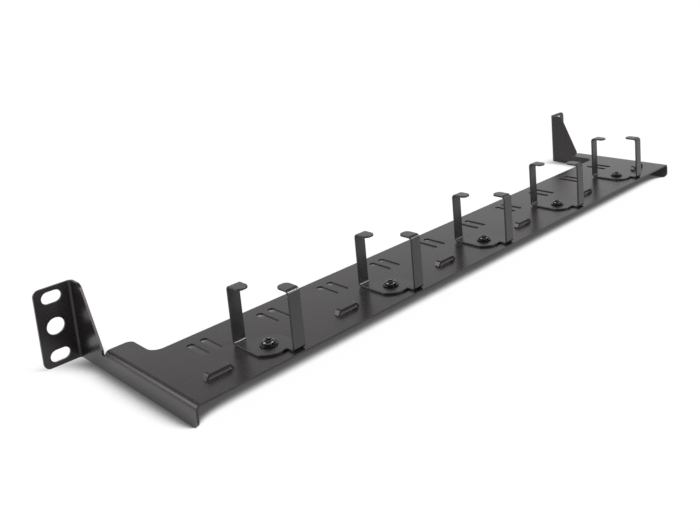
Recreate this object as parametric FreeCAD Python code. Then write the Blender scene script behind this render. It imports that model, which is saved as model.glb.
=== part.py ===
import FreeCAD, Part
import math
import os
from FreeCAD import Vector

# Rack cable management panel, one rack unit high. Lengths are in millimetres.
# +X runs along the rack's width, +Y points into the rack and +Z points up.
# The origin is under the middle of the panel, level with its lowest edges.

# Folded sheet that carries everything
sheet = 1.2
ear_span = 482.6
panel_height = 43.0
panel_depth = 114.4
body_width = 444.6
tray_height = 11.5
tray_bend_radius = 1.8
flange_corner_radius = 4.0

# Tray seen from above
tray_depth = 62.3
side_tab_depth = 84.6
side_tab_width = 14.4
tab_corner_radius = 3.5
tab_root_radius = 6.0

# Gusset that rises from each flange to its ear
relief_width = 3.0
gusset_foot_height = 11.5
gusset_slope_run = 15.5
gusset_corner_radius = 5.0
ear_bend_radius = 1.5

# Rack ears, with the hole spacing of a 19 inch rack
ear_corner_radius = 3.5
rack_hole_span = 465.1
rack_slot_pitch = 31.75
rack_slot_length = 10.2
rack_slot_width = 6.6
ear_hole_diameter = 9.2

# Pairs of slots for cable ties
tie_pair_count = 10
tie_pair_pitch = 42.0
tie_slot_spacing = 7.5
tie_slot_width = 4.0
tie_slot_length = 17.6
tie_slot_centre_y = -11.6

# Bridges lanced out of the tray, for straps
bridge_count = 6
bridge_pitch = 80.0
bridge_width = 3.2
bridge_centre_y = -41.0
bridge_rise = 2.7
bridge_top_length = 12.0
bridge_foot_length = 15.4
bridge_bend_radius = 0.6
bridge_end_overlap = 1.5

# Cable brackets, each folded from one strip
bracket_count = 5
bracket_pitch = 85.0
bracket_centre_y = -39.4
bracket_height = 32.0
bracket_reach = 16.4
bracket_bend_radius = 1.3
bracket_base_radius = 11.0
bracket_half_width = 10.0
bracket_arm_width = 7.0
bracket_tip_length = 10.5
bracket_tip_corner_radius = 3.0

# M3 screw, flat washer and nut that clamp each bracket
clearance_hole_diameter = 3.4
washer_diameter = 9.0
washer_bore = 3.2
washer_thickness = 0.8
screw_diameter = 3.0
screw_length = 6.0
head_diameter = 6.6
head_height = 1.8
head_side_height = 0.8
head_crown_diameter = 4.8
recess_span = 3.6
recess_wing_width = 0.9
recess_depth = 1.2
nut_across_flats = 5.5
nut_height = 2.4
nut_sides = 6

# Levels and faces that follow from the sizes above
front_y = -panel_depth / 2
rack_face_y = panel_depth / 2
ear_front_y = rack_face_y - sheet
tray_back_y = front_y + tray_depth
tab_back_y = front_y + side_tab_depth
gusset_foot_y = tab_back_y + relief_width
flange_x = body_width / 2
bend_line_height = tray_height - tray_bend_radius - sheet
bracket_floor_z = tray_height + sheet
head_seat_z = bracket_floor_z + washer_thickness
nut_top_z = tray_height - sheet
beyond = 5.0
precision = 1e-6
full_turn = 360


def in_plan(u, v):
    return Vector(u, v, 0)


def in_front_view(u, v):
    return Vector(u, 0, v)


def in_side_view(u, v):
    return Vector(0, u, v)


def row_positions(count, pitch):
    """Places of equally spaced features along X, centred on the panel."""
    first = -pitch * (count - 1) / 2
    return [first + pitch * index for index in range(count)]


def corner_arc(before, corner, after, radius):
    """The arc that rounds one corner of an outline, tangent to both of its sides."""
    towards_before = (before - corner).normalize()
    towards_after = (after - corner).normalize()
    half_angle = towards_before.getAngle(towards_after) / 2
    bisector = (towards_before + towards_after).normalize()
    tangent_length = radius / math.tan(half_angle)
    centre = corner + bisector * (radius / math.sin(half_angle))
    start = corner + towards_before * tangent_length
    end = corner + towards_after * tangent_length
    return start, centre - bisector * radius, end


def outline_face(corners, view):
    """A flat face from corners (u, v, radius) in one view. A corner with no radius is sharp."""
    points = [view(u, v) for u, v, radius in corners]
    count = len(points)
    edges = []
    pen = None
    first = None
    for index in range(count):
        radius = corners[index][2]
        arrive = leave = points[index]
        if radius > 0:
            arrive, middle, leave = corner_arc(
                points[index - 1], points[index], points[(index + 1) % count], radius)
        if pen is not None and pen.distanceToPoint(arrive) > precision:
            edges.append(Part.LineSegment(pen, arrive).toShape())
        if radius > 0:
            edges.append(Part.Arc(arrive, middle, leave).toShape())
        if first is None:
            first = arrive
        pen = leave
    if pen.distanceToPoint(first) > precision:
        edges.append(Part.LineSegment(pen, first).toShape())
    return Part.Face(Part.Wire(edges))


def fold_section(path, bend_radius, view):
    """The section of a sheet folded along a path, with its thickness to the left of the path."""
    points = [Vector(u, v, 0) for u, v in path]
    steps = [(after - before).normalize() for before, after in zip(points, points[1:])]
    lefts = [Vector(-step.y, step.x, 0) for step in steps]
    last = len(points) - 1
    right_side = []
    left_side = []
    for index, point in enumerate(points):
        if index in (0, last):
            shift = lefts[0 if index == 0 else -1] * sheet
            right_radius = left_radius = 0
        else:
            mitre = lefts[index - 1] + lefts[index]
            shift = mitre * (sheet / (1 + lefts[index - 1].dot(lefts[index])))
            turns_left = steps[index - 1].cross(steps[index]).z > 0
            left_radius = bend_radius if turns_left else bend_radius + sheet
            right_radius = bend_radius + sheet if turns_left else bend_radius
        right_side.append((point.x, point.y, right_radius))
        left_side.append((point.x + shift.x, point.y + shift.y, left_radius))
    return outline_face(right_side + left_side[::-1], view)


def slot_prism(length, width, depth, centre, long_axis, bore_axis):
    """A round-ended slot cutter, centred on a point and running along its bore axis."""
    side_axis = bore_axis.cross(long_axis)
    half_straight = long_axis * ((length - width) / 2)
    half_width = side_axis * (width / 2)
    start = centre - bore_axis * (depth / 2)
    near = start - half_straight
    far = start + half_straight
    near_tip = near - long_axis * (width / 2)
    far_tip = far + long_axis * (width / 2)
    edges = [
        Part.LineSegment(near - half_width, far - half_width).toShape(),
        Part.Arc(far - half_width, far_tip, far + half_width).toShape(),
        Part.LineSegment(far + half_width, near + half_width).toShape(),
        Part.Arc(near + half_width, near_tip, near - half_width).toShape(),
    ]
    return Part.Face(Part.Wire(edges)).extrude(bore_axis * depth)


def tray_and_flanges():
    """The channel of the panel: a tray with a flange folded down at each end."""
    channel_path = [
        (flange_x, 0),
        (flange_x, tray_height),
        (-flange_x, tray_height),
        (-flange_x, 0),
    ]
    section = fold_section(channel_path, tray_bend_radius, in_front_view)
    section.translate(Vector(0, front_y, 0))
    channel = section.extrude(Vector(0, side_tab_depth, 0))
    return channel.cut(tray_bay())


def tray_bay():
    """The wide bay behind the tray, which leaves a side tab at each flange."""
    bay_x = flange_x - side_tab_width
    open_y = tab_back_y + beyond
    bay = outline_face([
        (-bay_x, tray_back_y, tab_root_radius),
        (bay_x, tray_back_y, tab_root_radius),
        (bay_x, open_y, 0),
        (-bay_x, open_y, 0),
    ], in_plan).extrude(Vector(0, 0, panel_height))
    corner_cutters = [tab_corner_cutter(side) for side in (-1, 1)]
    return bay.fuse(corner_cutters)


def tab_corner_cutter(side):
    """What rounds the free back corner of one side tab."""
    corner_x = side * (flange_x - side_tab_width)
    corner = Vector(corner_x, tab_back_y, 0)
    square = Part.makeBox(tab_corner_radius, tab_corner_radius, panel_height)
    square_x = corner_x if side > 0 else corner_x - tab_corner_radius
    square.translate(Vector(square_x, tab_back_y - tab_corner_radius, 0))
    round_centre = corner + Vector(side * tab_corner_radius, -tab_corner_radius, 0)
    cylinder = Part.makeCylinder(tab_corner_radius, panel_height, round_centre)
    return square.cut(cylinder)


def gusset_and_ear():
    """The right gusset with its rack ear folded outwards, up to the height of the panel."""
    path = [
        (flange_x, tab_back_y),
        (flange_x, ear_front_y),
        (ear_span / 2, ear_front_y),
    ]
    folded = fold_section(path, ear_bend_radius, in_plan).extrude(Vector(0, 0, panel_height))
    outer_edges = [edge for edge in folded.Edges if is_ear_corner(edge)]
    return folded.makeFillet(ear_corner_radius, outer_edges)


def is_ear_corner(edge):
    """True for the two short edges across the sheet at the ear's free corners."""
    middle = edge.BoundBox.Center
    across_sheet = edge.BoundBox.YLength > sheet / 2 and edge.BoundBox.XLength < precision
    return across_sheet and abs(middle.x - ear_span / 2) < precision


def side_profile():
    """The panel seen from its end: flange, relief notch, sloping gusset and ear."""
    outline = outline_face([
        (front_y, 0, flange_corner_radius),
        (rack_face_y, 0, 0),
        (rack_face_y, panel_height, 0),
        (gusset_foot_y + gusset_slope_run, panel_height, gusset_corner_radius),
        (gusset_foot_y, gusset_foot_height, 0),
        (gusset_foot_y, bend_line_height, 0),
        (tab_back_y, bend_line_height, 0),
        (tab_back_y, tray_height, 0),
        (front_y, tray_height, 0),
    ], in_side_view)
    outline.translate(Vector(-ear_span / 2 - beyond, 0, 0))
    return outline.extrude(Vector(ear_span + 2 * beyond, 0, 0))


def ear_holes():
    """Two long slots and one round hole through each ear."""
    middle_z = panel_height / 2
    depth = 2 * beyond
    cutters = []
    for side in (-1, 1):
        x = side * rack_hole_span / 2
        for level in (-1, 1):
            centre = Vector(x, ear_front_y, middle_z + level * rack_slot_pitch / 2)
            cutters.append(slot_prism(
                rack_slot_length, rack_slot_width, depth, centre, Vector(1, 0, 0), Vector(0, 1, 0)))
        start = Vector(x, ear_front_y - beyond, middle_z)
        cutters.append(Part.makeCylinder(ear_hole_diameter / 2, depth, start, Vector(0, 1, 0)))
    return cutters


def tie_slots():
    """Pairs of slots across the tray, through which cable ties are threaded."""
    cutters = []
    for pair_x in row_positions(tie_pair_count, tie_pair_pitch):
        for slot_x in row_positions(2, tie_slot_spacing):
            centre = Vector(pair_x + slot_x, tie_slot_centre_y, tray_height)
            cutters.append(slot_prism(
                tie_slot_length, tie_slot_width, 2 * beyond, centre, Vector(0, 1, 0), Vector(0, 0, 1)))
    return cutters


def screw_hole(x):
    """The clearance hole through the tray and the bracket's base."""
    start = Vector(x, bracket_centre_y, tray_height - beyond)
    return Part.makeCylinder(clearance_hole_diameter / 2, 2 * beyond, start)


def bridge_leg_angle():
    leg_run = (bridge_foot_length - bridge_top_length) / 2
    return math.atan2(bridge_rise, leg_run)


def bridge_window(x):
    """The hole that a lanced bridge leaves under itself, up to where its feet bend."""
    foot_tangent = bridge_bend_radius * math.tan(bridge_leg_angle() / 2)
    length = bridge_foot_length + 2 * foot_tangent
    window = Part.makeBox(length, bridge_width, 2 * beyond)
    window.translate(Vector(x - length / 2, bridge_centre_y - bridge_width / 2, tray_height - beyond))
    return window


def bridge_strap(x):
    """The strap of sheet pushed up above the tray, still joined to it at both feet."""
    raised = tray_height + bridge_rise
    foot = bridge_foot_length / 2
    end = foot + bridge_end_overlap
    crown = bridge_top_length / 2
    path = [
        (end, tray_height),
        (foot, tray_height),
        (crown, raised),
        (-crown, raised),
        (-foot, tray_height),
        (-end, tray_height),
    ]
    strap = fold_section(path, bridge_bend_radius, in_front_view).extrude(Vector(0, bridge_width, 0))
    strap.translate(Vector(x, bridge_centre_y - bridge_width / 2, 0))
    return strap


def make_panel():
    """The whole folded sheet: channel, gussets, ears, holes, slots and bridges."""
    right_ear = gusset_and_ear()
    left_ear = right_ear.mirror(Vector(0, 0, 0), Vector(1, 0, 0))
    folded = tray_and_flanges().fuse([right_ear, left_ear]).removeSplitter()
    blank = folded.common(side_profile())
    bridge_places = row_positions(bridge_count, bridge_pitch)
    bracket_places = row_positions(bracket_count, bracket_pitch)
    cutters = ear_holes() + tie_slots()
    cutters += [screw_hole(x) for x in bracket_places]
    cutters += [bridge_window(x) for x in bridge_places]
    pierced = blank.cut(cutters)
    return pierced.fuse([bridge_strap(x) for x in bridge_places]).removeSplitter()


def bracket_base():
    """The bracket's flat base: a disc with two flat sides and a neck towards each arm."""
    disc = Part.makeCylinder(bracket_base_radius, sheet)
    side_limit = Part.makeBox(2 * bracket_half_width, 2 * bracket_base_radius, sheet)
    side_limit.translate(Vector(-bracket_half_width, -bracket_base_radius, 0))
    return disc.common(side_limit)


def bracket_arm():
    """One arm, from the base's middle out, up and back in over the cables."""
    path = [
        (0, 0),
        (bracket_reach, 0),
        (bracket_reach, bracket_height),
        (bracket_reach - bracket_tip_length, bracket_height),
    ]
    arm = fold_section(path, bracket_bend_radius, in_side_view)
    arm.translate(Vector(-bracket_half_width, 0, 0))
    arm = arm.extrude(Vector(bracket_arm_width, 0, 0))
    tip_edges = [edge for edge in arm.Edges if is_tip_corner(edge)]
    return arm.makeFillet(bracket_tip_corner_radius, tip_edges)


def is_tip_corner(edge):
    """True for the two upright edges at an arm's free end."""
    middle = edge.BoundBox.Center
    upright = edge.BoundBox.ZLength > sheet / 2 and edge.BoundBox.YLength < precision
    return upright and middle.z > bracket_height - sheet and edge.BoundBox.XLength < precision


def make_bracket(x):
    """A cable bracket: its two arms stand at opposite corners of the base."""
    arm = bracket_arm()
    opposite_arm = arm.copy()
    opposite_arm.rotate(Vector(0, 0, 0), Vector(0, 0, 1), full_turn / 2)
    bracket = bracket_base().fuse([arm, opposite_arm]).removeSplitter()
    bracket.translate(Vector(x, bracket_centre_y, tray_height))
    return bracket.cut(screw_hole(x))


def make_washer(x):
    """The flat washer between the screw's head and the bracket."""
    seat = Vector(x, bracket_centre_y, bracket_floor_z)
    disc = Part.makeCylinder(washer_diameter / 2, washer_thickness, seat)
    bore = Part.makeCylinder(washer_bore / 2, washer_thickness, seat)
    return disc.cut(bore)


def screw_profile():
    """Half of the screw's section about the Z axis: a pan head with a bevelled crown, on its shank."""
    shank_radius = screw_diameter / 2
    head_radius = head_diameter / 2
    crown_radius = head_crown_diameter / 2
    return outline_face([
        (0, -screw_length, 0),
        (shank_radius, -screw_length, 0),
        (shank_radius, 0, 0),
        (head_radius, 0, 0),
        (head_radius, head_side_height, 0),
        (crown_radius, head_height, 0),
        (0, head_height, 0),
    ], in_front_view)


def recess_wing():
    """One of the two crossing grooves of the driver recess."""
    wing = Part.makeBox(recess_span, recess_wing_width, recess_depth)
    wing.translate(Vector(-recess_span / 2, -recess_wing_width / 2, head_height - recess_depth))
    return wing


def make_screw(x):
    """The pan head screw, with a cross recess in its crown."""
    screw = screw_profile().revolve(Vector(0, 0, 0), Vector(0, 0, 1), full_turn)
    wing = recess_wing()
    crossing_wing = wing.copy()
    crossing_wing.rotate(Vector(0, 0, 0), Vector(0, 0, 1), full_turn / 4)
    screw = screw.cut([wing, crossing_wing])
    screw.translate(Vector(x, bracket_centre_y, head_seat_z))
    return screw


def make_nut(x):
    """The hexagon nut that takes the screw under the tray."""
    corner_radius = nut_across_flats / math.sqrt(3)
    corners = []
    for index in range(nut_sides):
        angle = math.radians(full_turn * index / nut_sides)
        corners.append((corner_radius * math.cos(angle), corner_radius * math.sin(angle), 0))
    hexagon = outline_face(corners, in_plan).extrude(Vector(0, 0, nut_height))
    nut = hexagon.cut(Part.makeCylinder(screw_diameter / 2, nut_height))
    nut.translate(Vector(x, bracket_centre_y, nut_top_z - nut_height))
    return nut


def build():
    """Every piece by its name."""
    pieces = {"panel": make_panel()}
    for number, x in enumerate(row_positions(bracket_count, bracket_pitch), start=1):
        pieces["cable_bracket_%d" % number] = make_bracket(x)
        pieces["bracket_screw_%d" % number] = make_screw(x)
        pieces["bracket_washer_%d" % number] = make_washer(x)
        pieces["bracket_nut_%d" % number] = make_nut(x)
    return pieces


def single_solid(name, shape):
    """The one solid that a piece is made of."""
    if len(shape.Solids) != 1 or not shape.Solids[0].isValid():
        raise ValueError("%s is not one valid solid" % name)
    return shape.Solids[0]


os.makedirs("parts", exist_ok=True)
for piece_name, piece_shape in build().items():
    solid = single_solid(piece_name, piece_shape)
    solid.exportStep("parts/%s.step" % piece_name)
    size = solid.optimalBoundingBox(False)
    print("%s: %.2f x %.2f x %.2f mm, %.3f cm3" % (
        piece_name, size.XLength, size.YLength, size.ZLength, solid.Volume / 1000))
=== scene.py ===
# %% [markdown]
# # A rack cable management panel
#
# The object is one long black sheet, folded into a tray with two end flanges and two slotted ears.
# Five cable brackets stand on it, each held by a screw, a washer and a nut. The solids come from a
# CAD model, so every piece already has its true size and place. What Blender adds is the finish:
# softened edges, a powder-coat surface, real screw heads and studio light.

# %% Load the solids
import math

import bmesh
import bpy
from mathutils import Matrix, Vector


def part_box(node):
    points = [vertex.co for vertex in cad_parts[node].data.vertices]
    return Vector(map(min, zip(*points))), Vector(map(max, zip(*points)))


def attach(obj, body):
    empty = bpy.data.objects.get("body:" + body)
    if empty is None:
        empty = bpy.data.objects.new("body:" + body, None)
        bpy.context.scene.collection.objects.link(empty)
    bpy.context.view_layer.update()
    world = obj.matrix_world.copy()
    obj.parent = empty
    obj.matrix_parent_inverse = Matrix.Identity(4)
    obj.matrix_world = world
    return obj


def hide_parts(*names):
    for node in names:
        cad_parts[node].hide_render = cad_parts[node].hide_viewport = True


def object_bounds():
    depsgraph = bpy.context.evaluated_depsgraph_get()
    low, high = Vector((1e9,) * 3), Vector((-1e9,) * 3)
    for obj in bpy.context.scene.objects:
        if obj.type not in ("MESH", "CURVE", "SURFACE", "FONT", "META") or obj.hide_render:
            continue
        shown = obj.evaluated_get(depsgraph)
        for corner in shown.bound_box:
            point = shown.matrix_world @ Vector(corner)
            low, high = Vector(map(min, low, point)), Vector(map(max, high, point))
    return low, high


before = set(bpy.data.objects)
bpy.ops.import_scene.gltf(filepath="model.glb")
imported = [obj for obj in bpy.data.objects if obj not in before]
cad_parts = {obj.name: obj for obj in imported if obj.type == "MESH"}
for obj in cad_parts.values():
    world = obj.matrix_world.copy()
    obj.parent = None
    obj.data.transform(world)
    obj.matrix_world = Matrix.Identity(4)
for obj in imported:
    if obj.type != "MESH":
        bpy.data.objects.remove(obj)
cad_box = [list(corner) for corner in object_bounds()]
millimetre = 0.001


def sides_in_millimetres(box):
    """The width, depth and height of a box."""
    return [round((high - low) / millimetre, 1) for low, high in zip(*box)]


print("nodes:", len(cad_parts))
print("size in mm:", sides_in_millimetres(cad_box))

# %% [markdown]
# ## Camera
#
# The photograph looks along the panel from above its near left end. A lens shift slides the
# picture without turning the camera, which helps upright edges to stay upright. The shift is kept
# small here, so that the whole panel is also inside the picture from its other sides, and the
# camera turns for the rest.

# %% Camera
# The eye is in millimetres, and the turns round X, Y and Z are in degrees.
eye = (-378.35, -354.93, 195.94)
turned_by = (79.321, 3.898, -47.937)
camera_data = bpy.data.cameras.new("camera")
camera_data.sensor_width = 36
camera_data.lens = 41.13
camera_data.shift_x = -0.1214
camera_data.shift_y = -0.2286
camera_data.clip_start = 0.01
camera_data.clip_end = 50
camera = bpy.data.objects.new("camera", camera_data)
camera.location = Vector(eye) * millimetre
camera.rotation_euler = [math.radians(degrees) for degrees in turned_by]
bpy.context.collection.objects.link(camera)
bpy.context.scene.camera = camera
bpy.context.scene.view_settings.view_transform = "Standard"
print("lens:", camera_data.lens, "mm")

# %% [markdown]
# ## Studio light
#
# A black satin sheet has hardly any colour of its own. What we see on it is mostly the white
# studio, mirrored softly, so the room matters as much as the material. The world is bright at the
# horizon and dark overhead: the tray mirrors the horizon, and every bend picks up a band of it.
# Two soft patches of light in the world draw the bright spots on the screw heads and the thin
# lines along the arms, and a wide lamp on the side of each patch adds its direct light. An image
# of a studio could light it as well, but a few numbers are easier to tune and need no file.

# %% Helpers for node trees
def add_node(tree, kind, inputs=None, **settings):
    """A node with its settings and its input values or links."""
    node = tree.nodes.new(kind)
    for name, value in settings.items():
        setattr(node, name, value)
    for name, value in (inputs or {}).items():
        if isinstance(value, bpy.types.NodeSocket):
            tree.links.new(value, node.inputs[name])
        else:
            node.inputs[name].default_value = value
    return node


def maths(tree, operation, *values):
    """The result of one step of arithmetic on numbers or sockets."""
    node = add_node(tree, "ShaderNodeMath", dict(enumerate(values)), operation=operation)
    return node.outputs["Value"]


def likeness(tree, direction, other):
    """How nearly two directions agree: 1 when they are the same, 0 at a right angle."""
    node = add_node(
        tree, "ShaderNodeVectorMath", {0: direction, 1: other}, operation="DOT_PRODUCT")
    return node.outputs["Value"]


def ramp(tree, value, start, end, low=0.0, high=1.0, curve="SMOOTHSTEP"):
    """Goes from low to high while the value goes from start to end."""
    node = add_node(tree, "ShaderNodeMapRange", {
        "Value": value, "From Min": start, "From Max": end, "To Min": low, "To Max": high,
    }, interpolation_type=curve)
    return node.outputs["Result"]


# %% World
# Heights in the sky go from 0 at the horizon to 1 straight overhead.
horizon_white = 1.16
overhead_grey = 0.18
white_up_to = 0.22
grey_from = 0.9
softbox_core = math.cos(math.radians(8))
softbox_rim = math.cos(math.radians(22))
softboxes = (((-0.60, 0.60, 0.53), 5.0), ((0.25, -0.80, 0.54), 5.0))
world = bpy.data.worlds.new("studio")
world.use_nodes = True
bpy.context.scene.world = world
tree = world.node_tree
tree.nodes.clear()
direction = add_node(tree, "ShaderNodeTexCoord").outputs["Generated"]
height = add_node(tree, "ShaderNodeSeparateXYZ", {"Vector": direction}).outputs["Z"]
level = ramp(tree, height, white_up_to, grey_from, horizon_white, overhead_grey)
for towards, strength in softboxes:
    nearness = likeness(tree, direction, Vector(towards).normalized())
    softbox = ramp(tree, nearness, softbox_rim, softbox_core, 0.0, strength)
    level = maths(tree, "ADD", level, softbox)
background = add_node(tree, "ShaderNodeBackground", {"Strength": level})
add_node(tree, "ShaderNodeOutputWorld", {"Surface": background.outputs["Background"]})
print("world from", horizon_white, "to", overhead_grey, "with", len(softboxes), "softboxes")

# %% Two lamps
lamp_spread = math.radians(12)
lamps = (("key", (-0.50, 0.52, -0.66), 1.5), ("rim", (0.60, -0.32, -0.70), 0.7))
for lamp_name, shines_towards, energy in lamps:
    lamp_data = bpy.data.lights.new(lamp_name, "SUN")
    lamp_data.energy = energy
    lamp_data.angle = lamp_spread
    lamp = bpy.data.objects.new(lamp_name, lamp_data)
    lamp.rotation_euler = Vector(shines_towards).to_track_quat("-Z", "Y").to_euler()
    bpy.context.collection.objects.link(lamp)
    print(lamp_name, "strength:", energy)

# %% [markdown]
# ## The white paper floor
#
# The photograph's background is pure white, but the panel still has a soft shadow in front of
# every lower edge. Paper that glows would lose its shadow, so the shadow is painted into the glow:
# the glow is turned down wherever ambient occlusion finds something close by. The occlusion looks
# along a tilted normal, almost level and towards the front, so that most of the painted shade
# stays under the sheet and only a short soft ramp shows in front of it. Behind the ears and in the
# open bay behind the tray the painted shade is faded out by position. Mirrored rays see the same
# white paper, with a fainter painted shade.

# %% Floor
floor_half = 20.0
floor_drop = 0.02 * millimetre
floor_mesh = bpy.data.meshes.new("floor")
shape = bmesh.new()
bmesh.ops.create_grid(shape, x_segments=1, y_segments=1, size=floor_half)
bmesh.ops.translate(shape, verts=shape.verts, vec=(0, 0, -floor_drop))
shape.to_mesh(floor_mesh)
shape.free()
floor = bpy.data.objects.new("floor", floor_mesh)
bpy.context.collection.objects.link(floor)
print("floor:", 2 * floor_half, "m wide")

# %% The painted shade where the panel is close to the paper
painted_shade_reach = 60 * millimetre
tilted_normal = {"X": 0.0, "Y": -0.97, "Z": 0.25}
painted_dark_openness = 0.70
painted_clear_openness = 0.885
floor_paint = bpy.data.materials.new("floor_paper")
floor_paint.use_nodes = True
floor_mesh.materials.append(floor_paint)
tree = floor_paint.node_tree
tree.nodes.clear()
tilt = add_node(tree, "ShaderNodeCombineXYZ", tilted_normal).outputs["Vector"]
openness = add_node(tree, "ShaderNodeAmbientOcclusion", {
    "Distance": painted_shade_reach, "Normal": tilt}, samples=48).outputs["AO"]
# Painted shade: full below the first openness, gone above the second.
outside_painted_shade = ramp(tree, openness, painted_dark_openness, painted_clear_openness)
print("shadow reach:", painted_shade_reach / millimetre, "mm")

# %% Where the painted shade fades out by position
ear_plane = cad_box[1][1]
tray_back = 5.1 * millimetre
gusset_plane = 222.3 * millimetre
ear_fade = [ear_plane + offset * millimetre for offset in (-16, 10)]
tray_fade = [tray_back + offset * millimetre for offset in (11, 25)]
gusset_fade = [gusset_plane - offset * millimetre for offset in (0, 14)]
place = add_node(tree, "ShaderNodeTexCoord").outputs["Object"]
place = add_node(tree, "ShaderNodeSeparateXYZ", {"Vector": place}).outputs
behind_ears = ramp(tree, place["Y"], *ear_fade)
behind_tray = ramp(tree, place["Y"], *tray_fade)
between_gussets = ramp(tree, maths(tree, "ABSOLUTE", place["X"]), *gusset_fade)
in_bay = maths(tree, "MULTIPLY", behind_tray, between_gussets)
# The painted shade fades out behind the ears, and in the bay behind the tray between the gussets.
clear = maths(tree, "MAXIMUM", behind_ears, in_bay)
no_painted_shade = maths(tree, "MAXIMUM", outside_painted_shade, clear)
print("lit from Y =", round(ear_fade[1] / millimetre, 1), "mm")

# %% The paper's own colour and its glow
floor_albedo = 0.06
floor_white = 0.95
painted_shade_level = 0.075
mirror_painted_shade = 0.40
# The glow falls from paper white to a painted shade level, for the camera and, fainter, in
# mirrors.
seen = ramp(tree, no_painted_shade, 0.0, 1.0, painted_shade_level, floor_white, curve="LINEAR")
mirrored = ramp(tree, no_painted_shade, 0.0, 1.0, mirror_painted_shade, floor_white, curve="LINEAR")
rays = add_node(tree, "ShaderNodeLightPath").outputs
in_picture = maths(tree, "MULTIPLY", rays["Is Camera Ray"], seen)
in_mirror = maths(tree, "MAXIMUM", rays["Is Glossy Ray"], rays["Is Transmission Ray"])
lift = maths(tree, "MULTIPLY_ADD", in_mirror, mirrored, in_picture)
paper = add_node(tree, "ShaderNodeBsdfDiffuse", {"Color": (*(floor_albedo,) * 3, 1)})
glow = add_node(tree, "ShaderNodeEmission", {"Color": (1, 1, 1, 1), "Strength": lift})
glowing_paper = add_node(tree, "ShaderNodeAddShader", {
    0: paper.outputs["BSDF"], 1: glow.outputs["Emission"]})
add_node(tree, "ShaderNodeOutputMaterial", {"Surface": glowing_paper.outputs["Shader"]})
print("paper white:", floor_white)

# %% [markdown]
# ## Effects that the finishes share
#
# Two effects appear in more than one finish, so each is a node group, built once. Paint grain is
# the fine unevenness that powder leaves when it melts: a height for the bump and a value that
# stirs the colour and the roughness. Edge rubbing finds the edges by comparing the true normal
# with one that is rounded over a small radius: where they differ, the surface is smoother, as if
# polished by handling, and lighter, which is partly wear and partly a painted highlight.

# %% Start a node group
def new_group(name, inputs, outputs):
    """An empty shader group with named number inputs and outputs."""
    group = bpy.data.node_groups.new(name, "ShaderNodeTree")
    for label, value in inputs.items():
        socket = group.interface.new_socket(label, in_out="INPUT", socket_type="NodeSocketFloat")
        socket.default_value = value
    for label in outputs:
        group.interface.new_socket(label, in_out="OUTPUT", socket_type="NodeSocketFloat")
    source = group.nodes.new("NodeGroupInput").outputs
    result = group.nodes.new("NodeGroupOutput").inputs
    return group, source, result


# %% Paint grain
grain, source, result = new_group(
    "Paint Grain", {"Grain Size": 1.0, "Patch Size": 40.0}, ["Height", "Stir"])
place = add_node(grain, "ShaderNodeTexCoord").outputs["Object"]
in_millimetres = add_node(grain, "ShaderNodeVectorMath", {
    0: place, "Scale": 1 / millimetre}, operation="SCALE").outputs["Vector"]
orange_peel = add_node(grain, "ShaderNodeTexNoise", {
    "Vector": in_millimetres,
    "Scale": maths(grain, "DIVIDE", 1.0, source["Grain Size"]),
    "Detail": 3.0,
    "Roughness": 0.6,
}).outputs["Fac"]
patches = add_node(grain, "ShaderNodeTexNoise", {
    "Vector": in_millimetres,
    "Scale": maths(grain, "DIVIDE", 1.0, source["Patch Size"]),
    "Detail": 4.0,
    "Roughness": 0.55,
}).outputs["Fac"]
stirred = maths(grain, "ADD", orange_peel, patches)
grain.links.new(orange_peel, result["Height"])
grain.links.new(maths(grain, "SUBTRACT", stirred, 1.0), result["Stir"])
print("built", grain.name)

# %% Edge rubbing and painted highlight
flat_likeness = 0.995
edge_likeness = 0.85
breaks_per_metre = 350.0
edge_mark_begins = 0.35
edge_mark_complete = 0.65
# The group marks the edges that a finish makes smoother and lighter; the lighter colour is partly
# wear and partly a painted highlight.
rub_and_sheen, source, result = new_group("Edge Rub", {"Width": 0.3, "Patchiness": 0.5}, ["Mask"])
radius = maths(rub_and_sheen, "MULTIPLY", source["Width"], millimetre)
rounded = add_node(rub_and_sheen, "ShaderNodeBevel", {"Radius": radius}, samples=4).outputs["Normal"]
true_normal = add_node(rub_and_sheen, "ShaderNodeNewGeometry").outputs["Normal"]
edge = ramp(rub_and_sheen, likeness(rub_and_sheen, rounded, true_normal), flat_likeness, edge_likeness, curve="LINEAR")
place = add_node(rub_and_sheen, "ShaderNodeTexCoord").outputs["Object"]
breaks = add_node(rub_and_sheen, "ShaderNodeTexNoise", {
    "Vector": place, "Scale": breaks_per_metre, "Detail": 3.0}).outputs["Fac"]
kept = ramp(rub_and_sheen, breaks, edge_mark_begins, edge_mark_complete, curve="LINEAR")
unbroken = maths(rub_and_sheen, "SUBTRACT", 1.0, source["Patchiness"])
broken = maths(rub_and_sheen, "MULTIPLY_ADD", kept, source["Patchiness"], unbroken)
rub_and_sheen.links.new(maths(rub_and_sheen, "MULTIPLY", edge, broken), result["Mask"])
print("built", rub_and_sheen.name)

# %% [markdown]
# ## Finishes
#
# The sheet and the brackets have the same satin black powder coat, which is a thin plastic skin:
# a very dark base and a soft reflection that grows towards grazing angles. On the brackets the
# reflection is stronger, a painted sheen that lifts their arms. The fasteners are steel with black
# zinc, which is a dark metal and much shinier. The screw heads are smoother than the washers and
# nuts, and their zinc is brighter, a painted highlight that strengthens their glints; the dull
# zinc lines the recess as painted shade.

# %% Build a finish
colour_stir = 2.2
roughness_stir = 0.11
rub_polish = 0.10


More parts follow.
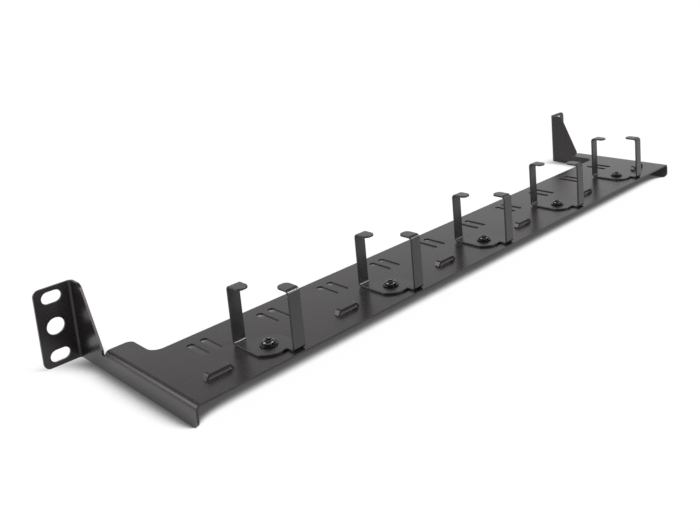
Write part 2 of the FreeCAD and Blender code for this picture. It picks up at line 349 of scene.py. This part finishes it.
def finish_material(name, colour, rubbed_and_sheen_colour, roughness, grain_size, bump, edge_width,
                    **constants):
    """Colour, roughness and bump vary with grain and edges; lighter edges: wear and painted
    highlight.
    """
    material = bpy.data.materials.new(name)
    material.use_nodes = True
    tree = material.node_tree
    tree.nodes.clear()
    texture = add_node(tree, "ShaderNodeGroup", {"Grain Size": grain_size}, node_tree=grain)
    edges = add_node(tree, "ShaderNodeGroup", {"Width": edge_width}, node_tree=rub_and_sheen)
    stir = texture.outputs["Stir"]
    rub_and_sheen_mask = edges.outputs["Mask"]
    tinted = add_node(tree, "ShaderNodeVectorMath", {
        0: colour, "Scale": maths(tree, "MULTIPLY_ADD", stir, colour_stir, 1.0),
    }, operation="SCALE").outputs["Vector"]
    # Edges take the lighter rubbed colour: partly wear, partly a painted highlight.
    base = add_node(tree, "ShaderNodeMix", {
        "Factor": rub_and_sheen_mask, "A": tinted, "B": (*rubbed_and_sheen_colour, 1)}, data_type="RGBA")
    varied = maths(tree, "MULTIPLY_ADD", stir, roughness_stir, roughness)
    relief = add_node(tree, "ShaderNodeBump", {
        "Height": texture.outputs["Height"], "Strength": 1.0, "Distance": bump * millimetre})
    shader = add_node(tree, "ShaderNodeBsdfPrincipled", {
        "Base Color": base.outputs["Result"],
        "Roughness": maths(tree, "MULTIPLY_ADD", rub_and_sheen_mask, -rub_polish, varied),
        "Normal": relief.outputs["Normal"],
    })
    for socket, value in constants.items():
        shader.inputs[socket.replace("_", " ")].default_value = value
    add_node(tree, "ShaderNodeOutputMaterial", {"Surface": shader.outputs["BSDF"]})
    print("finish:", material.name)
    return material


# %% The four finishes
warm_sheen = (1.0, 0.90, 0.92, 1.0)
panel_coat = finish_material(
    "satin_black_powder_coat", (0.0118, 0.0105, 0.0105), (0.06, 0.056, 0.056),
    roughness=0.28, grain_size=0.8, bump=0.019, edge_width=0.14, Specular_Tint=warm_sheen)
# The brackets' copy of the coat reflects more strongly: a painted sheen that lifts their arms.
bracket_coat = finish_material(
    "bracket_black_powder_coat", (0.0135, 0.0125, 0.0122), (0.06, 0.056, 0.056),
    roughness=0.30, grain_size=0.8, bump=0.025, edge_width=0.14, Specular_IOR_Level=0.62)
# Washers and nuts wear this dark zinc; in the screw recess it is painted shade.
black_zinc_and_recess_shade = finish_material(
    "black_zinc_steel", (0.022, 0.022, 0.0225), (0.09, 0.09, 0.09),
    roughness=0.22, grain_size=0.25, bump=0.003, edge_width=0.12, Metallic=1.0)
# The screws' zinc is a brighter copy: a painted highlight that strengthens their glints.
zinc_with_painted_glint = finish_material(
    "black_zinc_with_painted_glint", (0.075, 0.075, 0.077), (0.26, 0.26, 0.26),
    roughness=0.13, grain_size=0.25, bump=0.003, edge_width=0.12, Metallic=1.0)

# %% [markdown]
# ## The folded sheet and its brackets
#
# Sheet metal that was cut and then coated never has a knife-sharp edge: the paint rounds it, and
# the thin line of light on each edge is what makes it look real. The CAD mesh is exact but sharp
# and split into triangles. A copy is welded, its flat triangles are joined into whole faces, and
# a bevel rounds every sharp edge. The copy then stands for the CAD piece.

# %% Stand for a solid
def stand_for(piece, node_name):
    """The piece rides on the panel and shows instead of its CAD node."""
    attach(piece, "root")
    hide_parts(node_name)


# %% Soften a solid's edges
weld_distance = 0.001 * millimetre
flat_within = math.radians(0.5)
sharp_beyond = math.radians(35)
bevel_segments = 2


def softened_copy(node_name, piece_name, edge_radius, material):
    """A welded copy of a CAD node with rounded edges, which takes the node's place."""
    mesh = bpy.data.meshes.new(piece_name)
    shape = bmesh.new()
    shape.from_mesh(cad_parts[node_name].data)
    bmesh.ops.remove_doubles(shape, verts=shape.verts, dist=weld_distance)
    bmesh.ops.dissolve_limit(
        shape, angle_limit=flat_within, verts=shape.verts, edges=shape.edges)
    for face in shape.faces:
        face.smooth = True
    shape.to_mesh(mesh)
    shape.free()
    mesh.materials.append(material)
    piece = bpy.data.objects.new(piece_name, mesh)
    bpy.context.collection.objects.link(piece)
    bevel = piece.modifiers.new("soft_edges", "BEVEL")
    bevel.width = edge_radius * millimetre
    bevel.segments = bevel_segments
    bevel.limit_method = "ANGLE"
    bevel.angle_limit = sharp_beyond
    even = piece.modifiers.new("even_normals", "WEIGHTED_NORMAL")
    even.keep_sharp = True
    stand_for(piece, node_name)
    return piece


# %% Sheet and brackets
# The edge radii, here and below, are in millimetres.
bracket_count = 5
sheet_edge = 0.26
bracket_edge = 0.24
panel = softened_copy("panel", "folded_panel", sheet_edge, panel_coat)
print("panel faces:", len(panel.data.polygons))
for number in range(1, bracket_count + 1):
    softened_copy(
        "cable_bracket_%d" % number, "folded_bracket_%d" % number, bracket_edge,
        bracket_coat)
print("brackets:", bracket_count)

# %% [markdown]
# ## Washers and nuts
#
# A washer is punched from thin sheet and a nut is pressed and tumbled before plating, so their
# edges are soft too. They are made in the same way as the sheet. The washer is the thinnest piece
# and gets the smallest edge radius.

# %% Washers and nuts
washer_edge = 0.15
nut_edge = 0.25
for number in range(1, bracket_count + 1):
    softened_copy(
        "bracket_washer_%d" % number, "flat_washer_%d" % number, washer_edge,
        black_zinc_and_recess_shade)
    softened_copy(
        "bracket_nut_%d" % number, "hex_nut_%d" % number, nut_edge,
        black_zinc_and_recess_shade)
print("washers and nuts:", 2 * bracket_count)

# %% [markdown]
# ## Screws
#
# A pan head is a turned shape: its outline, spun round the axis, gives the head and the shank in
# one go. The cross recess can't be turned, so the flat crown is left open, a cross is drawn in
# it, and the cross is pushed down as a tapering pocket. The thread is a small tooth, spun round
# the shank while it slides along the axis, which is how a thread is really cut.

# %% Outline of the screw
# The screw is drawn in millimetres, and its points are a radius and a height.
shank_radius = 1.5
thread_depth = 0.27
screw_length = 6.0
head_radius = 3.3
head_height = 1.8
crown_radius = 2.25
core_radius = shank_radius - thread_depth
head_profile = [
    (core_radius, -screw_length),
    (core_radius, 0.0),
    (head_radius - 0.1, 0.0),
    (head_radius, 0.1),
    (head_radius, 0.72),
    (head_radius - 0.07, 1.0),
    (head_radius - 0.26, 1.3),
    (head_radius - 0.56, 1.56),
    (crown_radius + 0.15, 1.74),
    (crown_radius, head_height),
]
print("head:", 2 * head_radius, "mm across")

# %% Turn the head and shank
turn_steps = 48
same_place = 0.001


def is_open_ring(edge, level):
    """True for an edge of the hole in the surface at one level."""
    flat = all(abs(vertex.co.z - level) < same_place for vertex in edge.verts)
    return flat and len(edge.link_faces) == 1


def turned_body(shape):
    """Spins the profile round Z and returns the rim of the open crown."""
    points = [shape.verts.new((radius, 0, height)) for radius, height in head_profile]
    outline = [shape.edges.new(pair) for pair in zip(points, points[1:])]
    bmesh.ops.spin(
        shape, geom=points + outline, cent=(0, 0, 0), axis=(0, 0, 1), angle=math.tau,
        steps=turn_steps, use_merge=True)
    bmesh.ops.remove_doubles(shape, verts=shape.verts, dist=same_place)
    crown_rim = [edge for edge in shape.edges if is_open_ring(edge, head_height)]
    point_rim = [edge for edge in shape.edges if is_open_ring(edge, -screw_length)]
    bmesh.ops.edgeloop_fill(shape, edges=point_rim)
    return crown_rim


# %% Press the cross recess
recess_half_span = 2.0
recess_half_width = 0.55
recess_depth = 1.2
recess_taper = 0.72


def press_recess(shape, crown_rim):
    """Fills the crown round a cross and pushes the cross down as a tapering pocket in painted
    shade.
    """
    wide, narrow = recess_half_span, recess_half_width
    corners = []
    for quarter in range(4):
        turn = Matrix.Rotation(quarter * math.tau / 4, 3, "Z")
        for x, y in ((wide, -narrow), (wide, narrow), (narrow, narrow)):
            corners.append(shape.verts.new(turn @ Vector((x, y, head_height))))
    cross = shape.faces.new(corners)
    bmesh.ops.triangle_fill(
        shape, edges=crown_rim + list(cross.edges), use_beauty=True, normal=(0, 0, 1))
    pushed = bmesh.ops.extrude_face_region(shape, geom=[cross])
    floor_corners = [item for item in pushed["geom"] if isinstance(item, bmesh.types.BMVert)]
    bmesh.ops.delete(shape, geom=[cross], context="FACES_ONLY")
    bmesh.ops.translate(shape, verts=floor_corners, vec=(0, 0, -recess_depth))
    bmesh.ops.scale(shape, verts=floor_corners, vec=(recess_taper, recess_taper, 1))
    # The pocket takes the darker zinc as painted shade.
    for corner in floor_corners:
        for face in corner.link_faces:
            face.material_index = 1


# %% Cut the thread
thread_pitch = 0.5
thread_start = 0.6
tooth_root = core_radius - 0.02
# Each corner of the tooth is a radius and a share of the pitch along the screw.
tooth = ((tooth_root, 0.0), (shank_radius, 0.42), (shank_radius, 0.54), (tooth_root, 0.96))


def cut_thread(shape):
    """A tooth that winds down the shank: one spin for all turns, sliding by the pitch."""
    turns = int((screw_length - thread_start) / thread_pitch) - 1
    steps = turns * turn_steps // 2
    points = [
        shape.verts.new((radius, 0, -thread_start - thread_pitch * along))
        for radius, along in tooth]
    section = shape.faces.new(points)
    bmesh.ops.spin(
        shape, geom=[section, *section.edges, *section.verts], cent=(0, 0, 0), axis=(0, 0, 1),
        angle=math.tau * turns, dvec=(0, 0, -thread_pitch * turns / steps), steps=steps)


# %% Put one screw together
crease_beyond = math.radians(38)


def screw_mesh(name, seat):
    """The screw as a mesh, with the underside of its head on the seat."""
    shape = bmesh.new()
    crown_rim = turned_body(shape)
    press_recess(shape, crown_rim)
    cut_thread(shape)
    bmesh.ops.recalc_face_normals(shape, faces=shape.faces)
    bmesh.ops.scale(shape, verts=shape.verts, vec=(millimetre,) * 3)
    bmesh.ops.translate(shape, verts=shape.verts, vec=seat)
    for face in shape.faces:
        face.smooth = True
    mesh = bpy.data.meshes.new(name)
    shape.to_mesh(mesh)
    shape.free()
    mesh.set_sharp_from_angle(angle=crease_beyond)
    # The brighter zinc is a painted highlight for the glints; the second zinc lines the recess as
    # painted shade.
    for finish in (zinc_with_painted_glint, black_zinc_and_recess_shade):
        mesh.materials.append(finish)
    return mesh


# %% A screw for each bracket
for number in range(1, bracket_count + 1):
    node_name = "bracket_screw_%d" % number
    low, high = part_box(node_name)
    middle_x, middle_y = ((low[axis] + high[axis]) / 2 for axis in (0, 1))
    seat = Vector((middle_x, middle_y, high[2] - head_height * millimetre))
    name = "pan_screw_%d" % number
    screw = bpy.data.objects.new(name, screw_mesh(name, seat))
    bpy.context.collection.objects.link(screw)
    stand_for(screw, node_name)
print("screws:", bracket_count, "with", len(screw.data.polygons), "faces each")
